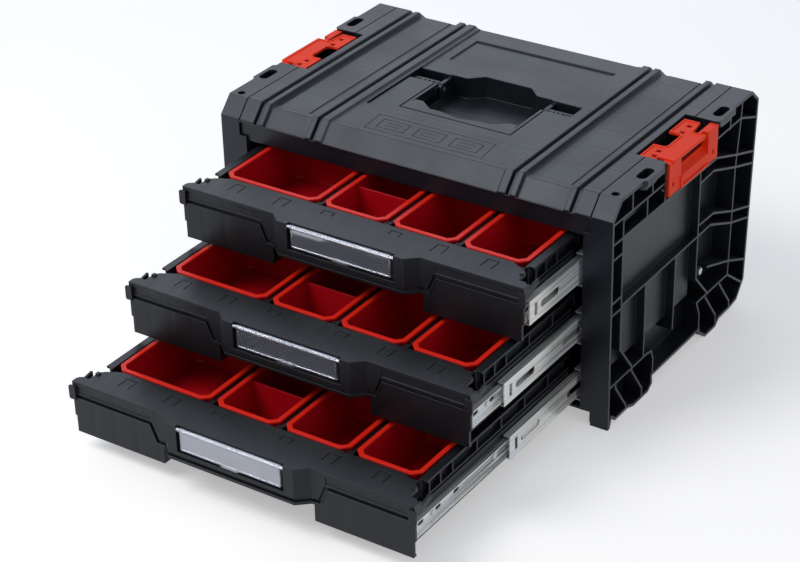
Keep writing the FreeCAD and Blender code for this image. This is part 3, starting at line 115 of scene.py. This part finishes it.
def lay_floor():
    mesh = bpy.data.meshes.new("floor")
    half = FLOOR_HALF
    corners = [(-half, -half, 0), (half, -half, 0), (half, half, 0), (-half, half, 0)]
    mesh.from_pydata(corners, [], [tuple(range(len(corners)))])
    floor = bpy.data.objects.new("floor", mesh)
    bpy.context.collection.objects.link(floor)
    material = bpy.data.materials.new("pale_floor")
    material.use_nodes = True
    nodes = material.node_tree.nodes
    links = material.node_tree.links
    nodes.clear()
    output = nodes.new("ShaderNodeOutputMaterial")
    paper = nodes.new("ShaderNodeBsdfDiffuse")
    paper.inputs["Color"].default_value = FLOOR_PAPER
    glow = nodes.new("ShaderNodeEmission")
    glow.inputs["Strength"].default_value = FLOOR_GLOW
    both = nodes.new("ShaderNodeAddShader")
    choose = nodes.new("ShaderNodeMixShader")
    links.new(paper.outputs[0], both.inputs[0])
    links.new(glow.outputs[0], both.inputs[1])
    links.new(background_seen(material.node_tree), choose.inputs["Fac"])
    links.new(paper.outputs[0], choose.inputs[1])
    links.new(both.outputs[0], choose.inputs[2])
    links.new(choose.outputs[0], output.inputs["Surface"])
    mesh.materials.append(material)


# Shared shader effects

def new_group(name, inputs, outputs):
    group = bpy.data.node_groups.new(name, "ShaderNodeTree")
    for label, kind, value in inputs:
        socket = group.interface.new_socket(name=label, in_out="INPUT", socket_type=kind)
        socket.default_value = value
    for label, kind in outputs:
        group.interface.new_socket(name=label, in_out="OUTPUT", socket_type=kind)
    return group, group.nodes.new("NodeGroupInput"), group.nodes.new("NodeGroupOutput")


def math_node(tree, operation, first, second=None, third=None, clamp=False):
    node = tree.nodes.new("ShaderNodeMath")
    node.operation = operation
    node.use_clamp = clamp
    for index, value in enumerate((first, second, third)):
        if value is None:
            continue
        if isinstance(value, bpy.types.NodeSocket):
            tree.links.new(value, node.inputs[index])
        else:
            node.inputs[index].default_value = value
    return node.outputs[0]


def noise(tree, vector, scale, detail, roughness=0.5):
    node = tree.nodes.new("ShaderNodeTexNoise")
    tree.links.new(vector, node.inputs["Vector"])
    if isinstance(scale, bpy.types.NodeSocket):
        tree.links.new(scale, node.inputs["Scale"])
    else:
        node.inputs["Scale"].default_value = scale
    node.inputs["Detail"].default_value = detail
    node.inputs["Roughness"].default_value = roughness
    return node.outputs["Fac"]


def ramp(tree, value, low, high):
    node = tree.nodes.new("ShaderNodeMapRange")
    node.clamp = True
    tree.links.new(value, node.inputs["Value"])
    for label, limit in (("From Min", low), ("From Max", high)):
        if isinstance(limit, bpy.types.NodeSocket):
            tree.links.new(limit, node.inputs[label])
        else:
            node.inputs[label].default_value = limit
    return node.outputs["Result"]


def object_place(tree, stretch=(1, 1, 1)):
    place = tree.nodes.new("ShaderNodeTexCoord")
    mapping = tree.nodes.new("ShaderNodeMapping")
    mapping.inputs["Scale"].default_value = stretch
    tree.links.new(place.outputs["Object"], mapping.inputs["Vector"])
    return mapping.outputs["Vector"]


BEVEL_SAMPLES = 6
EDGE_START = 0.995
EDGE_FULL = 0.86
CREASE_SAMPLES = 4
CREASE_REACH = 0.004
CREASE_CLOSED = 0.72
CREASE_OPEN = 0.92
PATCH_LOW = 0.36
PATCH_HIGH = 0.62


# Edge mask for lighter convex edges: partly edge wear, partly a painted highlight; creases are left
# out
def make_edge_group():
    group, given, result = new_group(
        "edge wear and painted highlight",
        (("Radius", "NodeSocketFloat", 0.0008), ("Patchiness", "NodeSocketFloat", 60.0)),
        (("Edge", "NodeSocketFloat"), ("Rounded Normal", "NodeSocketVector")))
    rounded = group.nodes.new("ShaderNodeBevel")
    rounded.samples = BEVEL_SAMPLES
    group.links.new(given.outputs["Radius"], rounded.inputs["Radius"])
    plain = group.nodes.new("ShaderNodeNewGeometry")
    facing = group.nodes.new("ShaderNodeVectorMath")
    facing.operation = "DOT_PRODUCT"
    group.links.new(rounded.outputs["Normal"], facing.inputs[0])
    group.links.new(plain.outputs["Normal"], facing.inputs[1])
    edge = ramp(group, facing.outputs["Value"], EDGE_START, EDGE_FULL)
    open_space = group.nodes.new("ShaderNodeAmbientOcclusion")
    open_space.samples = CREASE_SAMPLES
    open_space.inputs["Distance"].default_value = CREASE_REACH
    outer = ramp(group, open_space.outputs["AO"], CREASE_CLOSED, CREASE_OPEN)
    patches = noise(group, object_place(group), given.outputs["Patchiness"], 4)
    wear_and_highlight = math_node(group, "MULTIPLY", ramp(group, patches, PATCH_LOW, PATCH_HIGH), outer)
    group.links.new(math_node(group, "MULTIPLY", edge, wear_and_highlight), result.inputs["Edge"])
    group.links.new(rounded.outputs["Normal"], result.inputs["Rounded Normal"])
    return group


BLOTCH_LOW = 0.32
BLOTCH_HIGH = 0.7
FLOW_STRETCH = (30, 4, 30)


def make_grain_group():
    group, given, result = new_group(
        "moulded grain",
        (("Fineness", "NodeSocketFloat", 2600.0), ("Blotches", "NodeSocketFloat", 14.0)),
        (("Grain", "NodeSocketFloat"), ("Blotch", "NodeSocketFloat"), ("Flow", "NodeSocketFloat")))
    place = object_place(group)
    fine = noise(group, place, given.outputs["Fineness"], 3, 0.6)
    group.links.new(fine, result.inputs["Grain"])
    blotch = noise(group, place, given.outputs["Blotches"], 5, 0.6)
    group.links.new(ramp(group, blotch, BLOTCH_LOW, BLOTCH_HIGH), result.inputs["Blotch"])
    stretched = object_place(group, FLOW_STRETCH)
    group.links.new(noise(group, stretched, 1.0, 3), result.inputs["Flow"])
    return group


SCRATCH_RUNS = ((0.35, 46.0), (1.45, 38.0), (2.4, 52.0))
SCRATCH_TILT = (0.3, 0.2)
SCRATCH_ACROSS = 14
SCRATCH_DEEP = 9
SCRATCH_LOW = 0.71
SCRATCH_HIGH = 0.76
SCRATCH_SPREAD = 22.0
SPREAD_HIGH = 0.9


def make_scratch_group():
    group, given, result = new_group(
        "hairline scratches",
        (("Density", "NodeSocketFloat", 0.5),),
        (("Scratch", "NodeSocketFloat"),))
    strongest = None
    for angle, scale in SCRATCH_RUNS:
        place = group.nodes.new("ShaderNodeTexCoord")
        mapping = group.nodes.new("ShaderNodeMapping")
        mapping.inputs["Rotation"].default_value = (*SCRATCH_TILT, angle)
        mapping.inputs["Scale"].default_value = (scale * SCRATCH_ACROSS, scale, scale * SCRATCH_DEEP)
        group.links.new(place.outputs["Object"], mapping.inputs["Vector"])
        lines = noise(group, mapping.outputs["Vector"], 1.0, 2)
        thin = ramp(group, lines, SCRATCH_LOW, SCRATCH_HIGH)
        strongest = thin if strongest is None else math_node(group, "MAXIMUM", strongest, thin)
    spread = noise(group, object_place(group), SCRATCH_SPREAD, 2)
    start = math_node(group, "SUBTRACT", 1.0, given.outputs["Density"])
    allowed = ramp(group, spread, start, SPREAD_HIGH)
    group.links.new(math_node(group, "MULTIPLY", strongest, allowed), result.inputs["Scratch"])
    return group


SINK_SOFTNESS = 0.3


def make_sink_group():
    group, given, result = new_group(
        "sink marks",
        (("Across", "NodeSocketVector", (0, 1, 0)), ("Spacing", "NodeSocketFloat", 0.04),
         ("Shift", "NodeSocketFloat", 0.0), ("Width", "NodeSocketFloat", 0.002)),
        (("Sink", "NodeSocketFloat"),))
    along = group.nodes.new("ShaderNodeVectorMath")
    along.operation = "DOT_PRODUCT"
    group.links.new(object_place(group), along.inputs[0])
    group.links.new(given.outputs["Across"], along.inputs[1])
    moved = math_node(group, "ADD", along.outputs["Value"], given.outputs["Shift"])
    within = math_node(group, "FLOORED_MODULO", moved, given.outputs["Spacing"])
    half = math_node(group, "MULTIPLY", given.outputs["Spacing"], 0.5)
    away = math_node(group, "ABSOLUTE", math_node(group, "SUBTRACT", within, half))
    near = ramp(group, away, given.outputs["Width"], 0.0)
    group.links.new(math_node(group, "SMOOTH_MIN", near, 1.0, SINK_SOFTNESS), result.inputs["Sink"])
    return group


def use_group(material, group, values):
    node = material.node_tree.nodes.new("ShaderNodeGroup")
    node.node_tree = group
    for label, value in values.items():
        node.inputs[label].default_value = value
    return node


def blend_colour(tree, factor, first, second):
    node = tree.nodes.new("ShaderNodeMix")
    node.data_type = "RGBA"
    tree.links.new(factor, node.inputs["Factor"])
    for socket, value in ((node.inputs[6], first), (node.inputs[7], second)):
        if isinstance(value, bpy.types.NodeSocket):
            tree.links.new(value, socket)
        else:
            socket.default_value = (*value, 1)
    return node.outputs[2]


def blend_value(tree, factor, first, second):
    node = tree.nodes.new("ShaderNodeMix")
    node.data_type = "FLOAT"
    tree.links.new(factor, node.inputs["Factor"])
    for socket, value in ((node.inputs[2], first), (node.inputs[3], second)):
        if isinstance(value, bpy.types.NodeSocket):
            tree.links.new(value, socket)
        else:
            socket.default_value = value
    return node.outputs[0]


def new_material(name):
    material = bpy.data.materials.new(name)
    material.use_nodes = True
    shader = material.node_tree.nodes["Principled BSDF"]
    return material, shader


edge_group = make_edge_group()
grain_group = make_grain_group()
scratch_group = make_scratch_group()
sink_group = make_sink_group()


# Finishes

def add_sink_marks(material, shader, across, spacing, width, depth):
    tree = material.node_tree
    marks = use_group(material, sink_group, {"Across": across, "Spacing": spacing, "Width": width})
    dip = tree.nodes.new("ShaderNodeBump")
    dip.invert = True
    dip.inputs["Strength"].default_value = 1.0
    dip.inputs["Distance"].default_value = depth
    tree.links.new(marks.outputs["Sink"], dip.inputs["Height"])
    tree.links.new(shader.inputs["Normal"].links[0].from_socket, dip.inputs["Normal"])
    tree.links.new(dip.outputs["Normal"], shader.inputs["Normal"])


def share_of_box(tree, axis):
    place = tree.nodes.new("ShaderNodeTexCoord")
    axes = tree.nodes.new("ShaderNodeSeparateXYZ")
    tree.links.new(place.outputs["Generated"], axes.inputs["Vector"])
    return axes.outputs[axis]


PLASTIC_SHEEN = (0.84, 0.90, 1.0, 1)
PLASTIC_GLOSS = 0.36
PLASTIC_BLOTCHES = 14.0
PLASTIC_PATCHES = 60.0
PLASTIC_BUMP = 0.55
SCRATCH_SHADE = 0.14
SCRATCH_DEPTH = 2.0
FLOW_SHARE = 0.3


def moulded_plastic(name, deep, pale, wear_and_highlight, roughness, gloss_change, grain_depth,
                    fineness=2600.0, radius=0.0008, wear_and_highlight_share=0.35, scratches=0.35):
    material, shader = new_material(name)
    tree = material.node_tree
    grain = use_group(material, grain_group, {"Fineness": fineness, "Blotches": PLASTIC_BLOTCHES})
    edges = use_group(material, edge_group, {"Radius": radius, "Patchiness": PLASTIC_PATCHES})
    marks = use_group(material, scratch_group, {"Density": scratches})
    body = blend_colour(tree, grain.outputs["Blotch"], deep, pale)
    # Convex edges are made lighter: partly edge wear, partly a painted highlight
    wear_and_highlight_mask = math_node(tree, "MULTIPLY", edges.outputs["Edge"], wear_and_highlight_share)
    marked = math_node(tree, "MULTIPLY", marks.outputs["Scratch"], SCRATCH_SHADE)
    surface = blend_colour(tree, math_node(tree, "MAXIMUM", wear_and_highlight_mask, marked), body, wear_and_highlight)
    tree.links.new(surface, shader.inputs["Base Color"])
    rough = blend_value(
        tree, grain.outputs["Blotch"], roughness - gloss_change, roughness + gloss_change)
    flow = math_node(tree, "MULTIPLY", grain.outputs["Flow"], gloss_change * FLOW_SHARE)
    tree.links.new(math_node(tree, "ADD", rough, flow), shader.inputs["Roughness"])
    bump = tree.nodes.new("ShaderNodeBump")
    bump.inputs["Strength"].default_value = PLASTIC_BUMP
    bump.inputs["Distance"].default_value = grain_depth
    scored = math_node(tree, "MULTIPLY", marked, SCRATCH_DEPTH)
    height = math_node(tree, "SUBTRACT", grain.outputs["Grain"], scored)
    tree.links.new(height, bump.inputs["Height"])
    tree.links.new(edges.outputs["Rounded Normal"], bump.inputs["Normal"])
    tree.links.new(bump.outputs["Normal"], shader.inputs["Normal"])
    shader.inputs["Specular IOR Level"].default_value = PLASTIC_GLOSS
    shader.inputs["Specular Tint"].default_value = PLASTIC_SHEEN
    return material, shader


STEEL_TINT_STRETCH = (9, 16, 9)
STEEL_TINT_LOW = 0.38
STEEL_TINT_HIGH = 0.64
DRAWN_LINE_STRETCH = (900, 6, 900)
DRAWN_LINE_LOW = 0.42
DRAWN_LINE_HIGH = 0.6
# Dark colour of the drawn lines, also carrying painted shade towards the back of the slide
DRAWN_LINE_AND_SHADE_COLOUR = (0.05, 0.056, 0.062)
PAINTED_SHADE_START = 0.05
PAINTED_SHADE_FULL = 0.5
LINES_AT_FRONT = 0.3
STEEL_SCRATCH_COLOUR = (0.4, 0.41, 0.42)
STEEL_SCRATCH_SHARE = 0.5
ROLLED_LOW = 0.3
ROLLED_HIGH = 0.7
SMOOTHEST = 0.85
ROUGHEST = 1.2
ROLLED_DEPTH = 0.00006


def plated_steel(name, cool, warm, roughness, streak, metal, ripple, shadow):
    material, shader = new_material(name)
    tree = material.node_tree
    shader.inputs["Metallic"].default_value = metal
    edges = use_group(material, edge_group, {"Radius": 0.0003, "Patchiness": 90.0})
    grain = use_group(material, grain_group, {"Fineness": 900.0, "Blotches": 30.0})
    marks = use_group(material, scratch_group, {"Density": 0.6})
    rolled = noise(tree, object_place(tree, streak), 1.0, 4, 0.65)
    tint = noise(tree, object_place(tree, STEEL_TINT_STRETCH), 1.0, 3, 0.6)
    body = blend_colour(tree, ramp(tree, tint, STEEL_TINT_LOW, STEEL_TINT_HIGH), cool, warm)
    # Painted shade: the dark drawn lines grow stronger towards the back of the part's box, where it
    # runs under the case
    depth = ramp(tree, share_of_box(tree, "Y"), PAINTED_SHADE_START, PAINTED_SHADE_FULL)
    drawn = noise(tree, object_place(tree, DRAWN_LINE_STRETCH), 1.0, 3, 0.7)
    lines = ramp(tree, drawn, DRAWN_LINE_LOW, DRAWN_LINE_HIGH)
    lines_and_shade_strength = blend_value(tree, depth, shadow * LINES_AT_FRONT, shadow)
    lined_and_shaded = math_node(tree, "MULTIPLY", lines, lines_and_shade_strength)
    body = blend_colour(tree, lined_and_shaded, body, DRAWN_LINE_AND_SHADE_COLOUR)
    scratched = math_node(tree, "MULTIPLY", marks.outputs["Scratch"], STEEL_SCRATCH_SHARE)
    dulled = blend_colour(tree, scratched, body, STEEL_SCRATCH_COLOUR)
    tree.links.new(dulled, shader.inputs["Base Color"])
    wavy = ramp(tree, rolled, ROLLED_LOW, ROLLED_HIGH)
    rough = blend_value(tree, wavy, roughness * SMOOTHEST, roughness * ROUGHEST)
    rough = blend_value(tree, grain.outputs["Blotch"], rough, roughness)
    tree.links.new(rough, shader.inputs["Roughness"])
    bump = tree.nodes.new("ShaderNodeBump")
    bump.inputs["Strength"].default_value = ripple
    bump.inputs["Distance"].default_value = ROLLED_DEPTH
    tree.links.new(rolled, bump.inputs["Height"])
    tree.links.new(edges.outputs["Rounded Normal"], bump.inputs["Normal"])
    tree.links.new(bump.outputs["Normal"], shader.inputs["Normal"])
    return material


# The windows are see-through by alpha, with a mirror-like gloss in place of clear plastic's own
WINDOW_COOL = (0.66, 0.69, 0.78)
WINDOW_PALE = (0.72, 0.75, 0.84)
# Brighter tint along the window borders: a painted highlight
WINDOW_EDGE_HIGHLIGHT = (0.92, 0.94, 1.0)
WINDOW_METAL = 0.9
WINDOW_GLOSS = 0.8
WINDOW_SMOOTH = 0.05
WINDOW_SMEARED = 0.09
WINDOW_SCRATCHED = 0.15
WINDOW_FACE_ALPHA = 0.34
WINDOW_EDGE_ALPHA = 0.85


def clear_plastic(name):
    material, shader = new_material(name)
    tree = material.node_tree
    shader.inputs["Metallic"].default_value = WINDOW_METAL
    shader.inputs["Specular IOR Level"].default_value = WINDOW_GLOSS
    grain = use_group(material, grain_group, {"Fineness": 700.0, "Blotches": 40.0})
    edges = use_group(material, edge_group, {"Radius": 0.0007, "Patchiness": 90.0})
    marks = use_group(material, scratch_group, {"Density": 0.5})
    tint = blend_colour(tree, grain.outputs["Blotch"], WINDOW_COOL, WINDOW_PALE)
    # Painted highlight: the tint turns brighter near the window's edges
    surface = blend_colour(tree, edges.outputs["Edge"], tint, WINDOW_EDGE_HIGHLIGHT)
    tree.links.new(surface, shader.inputs["Base Color"])
    smear = blend_value(tree, grain.outputs["Blotch"], WINDOW_SMOOTH, WINDOW_SMEARED)
    scratched = math_node(tree, "MULTIPLY", marks.outputs["Scratch"], WINDOW_SCRATCHED)
    tree.links.new(math_node(tree, "ADD", smear, scratched), shader.inputs["Roughness"])
    seen = blend_value(tree, edges.outputs["Edge"], WINDOW_FACE_ALPHA, WINDOW_EDGE_ALPHA)
    tree.links.new(seen, shader.inputs["Alpha"])
    tree.links.new(edges.outputs["Rounded Normal"], shader.inputs["Normal"])
    return material


# Bin rims: a brighter red painted near the top of each bin's box, a painted highlight of the lit rims
RIM_HIGHLIGHT_START = 0.955
RIM_HIGHLIGHT_FULL = 0.985
RIM_PAINTED_HIGHLIGHT = (0.80, 0.020, 0.008)
BIN_GLOSS = 0.22


def red_bin_plastic():
    material, shader = moulded_plastic(
        "red_bin_plastic", (0.46, 0.0030, 0.0110), (0.54, 0.0048, 0.0140), (0.80, 0.045, 0.02),
        roughness=0.36, gloss_change=0.05, grain_depth=0.00003, fineness=1600.0, scratches=0.25)
    tree = material.node_tree
    shader.inputs["Specular IOR Level"].default_value = BIN_GLOSS
    body = shader.inputs["Base Color"].links[0].from_socket
    # Painted highlight: the colour turns to the brighter rim red towards the top of the bin
    painted_rim_highlight = ramp(tree, share_of_box(tree, "Z"), RIM_HIGHLIGHT_START, RIM_HIGHLIGHT_FULL)
    tree.links.new(blend_colour(tree, painted_rim_highlight, body, RIM_PAINTED_HIGHLIGHT), shader.inputs["Base Color"])
    return material


CHARCOAL_DEEP = (0.0046, 0.0056, 0.0088)
CHARCOAL_PALE = (0.0082, 0.0096, 0.0144)
# Lighter colour for convex edges: partly edge wear, partly a painted highlight
CHARCOAL_WEAR_AND_HIGHLIGHT = (0.075, 0.082, 0.10)
DRAWER_DEEP = (0.0040, 0.0044, 0.0060)
DRAWER_PALE = (0.0062, 0.0068, 0.0088)
DRAWER_GLOSS = 0.32
LATCH_GLOSS = 0.12

case_plastic = moulded_plastic(
    "charcoal_moulded_plastic", CHARCOAL_DEEP, CHARCOAL_PALE, CHARCOAL_WEAR_AND_HIGHLIGHT,
    roughness=0.37, gloss_change=0.05, grain_depth=0.00008)[0]
drawer_plastic, drawer_shader = moulded_plastic(
    "drawer_moulded_plastic", DRAWER_DEEP, DRAWER_PALE, CHARCOAL_WEAR_AND_HIGHLIGHT,
    roughness=0.38, gloss_change=0.04, grain_depth=0.00006, radius=0.0010)
drawer_shader.inputs["Specular IOR Level"].default_value = DRAWER_GLOSS
lid_plastic, lid_shader = moulded_plastic(
    "lid_moulded_plastic", CHARCOAL_DEEP, CHARCOAL_PALE, CHARCOAL_WEAR_AND_HIGHLIGHT,
    roughness=0.37, gloss_change=0.06, grain_depth=0.00008, radius=0.0014)
add_sink_marks(lid_plastic, lid_shader, across=(0, 1, 0), spacing=0.04, width=0.0022, depth=0.00012)
add_sink_marks(
    drawer_plastic, drawer_shader, across=(1, 0, 0), spacing=0.026, width=0.006, depth=0.00016)
latch_plastic, latch_shader = moulded_plastic(
    "orange_red_latch_plastic", (0.88, 0.036, 0.005), (0.95, 0.048, 0.008), (0.96, 0.14, 0.05),
    roughness=0.46, gloss_change=0.04, grain_depth=0.00004, fineness=1800.0)
latch_shader.inputs["Specular IOR Level"].default_value = LATCH_GLOSS
bin_plastic = red_bin_plastic()
zinc = plated_steel(
    "zinc_plated_steel", (0.90, 0.94, 0.98), (0.92, 0.92, 0.88),
    roughness=0.24, streak=(420, 2, 420), metal=0.4, ripple=0.12, shadow=1.0)
steel = plated_steel(
    "plain_steel", (0.52, 0.52, 0.53), (0.60, 0.59, 0.57),
    roughness=0.34, streak=(300, 300, 300), metal=1.0, ripple=0.35, shadow=0.0)
clear = clear_plastic("clear_window_plastic")

BY_SLOT = {
    "case_plastic": case_plastic, "drawer_plastic": drawer_plastic, "latch_plastic": latch_plastic,
    "bin_plastic": bin_plastic, "slide_steel": zinc, "steel": steel, "clear_plastic": clear}
BY_NODE = {"top_cover": lid_plastic}


def dress_nodes():
    for part in frame["record"]["subparts"]:
        piece = frame["nodes"][part["node"]]
        material = BY_NODE.get(part["node"], BY_SLOT[part["material_slot"]])
        for slot in piece.material_slots:
            slot.material = material
        if not piece.material_slots:
            piece.data.materials.append(material)


bpy.context.scene.view_settings.view_transform = "Standard"
place_camera()
light_studio()
lay_floor()
dress_nodes()
